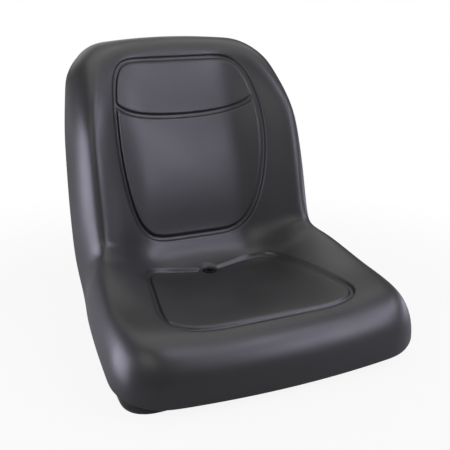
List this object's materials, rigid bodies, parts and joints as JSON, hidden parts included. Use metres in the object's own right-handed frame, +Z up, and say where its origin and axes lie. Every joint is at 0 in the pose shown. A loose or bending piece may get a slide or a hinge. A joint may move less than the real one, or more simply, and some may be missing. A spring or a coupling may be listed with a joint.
{
  "type": "ride-on mower seat",
  "caption": "High-back ride-on mower seat: one moulded vinyl-skinned foam cushion with side bolsters and sunk panel grooves on a pressed steel pan with threaded mounting holes.",
  "frame": {"origin": "middle of the mounting hole pattern, on the underside of the steel pan", "axes": "+Z up, -Y to the front of the seat (the way the sitter faces), +X to the right of someone looking at its front"},
  "size_m": [0.492, 0.4795, 0.4432],
  "materials": {
    "vinyl": "satin black vinyl with a fine grain",
    "pan_paint": "semi-gloss black paint",
    "grommet": "matt black",
    "nut_steel": "zinc plated"
  },
  "bodies": {
    "root": {"seat_cushion": "vinyl", "seat_pan": "pan_paint", "drain_grommet": "grommet", "weld_nuts": "nut_steel"}
  },
  "joints": []
}
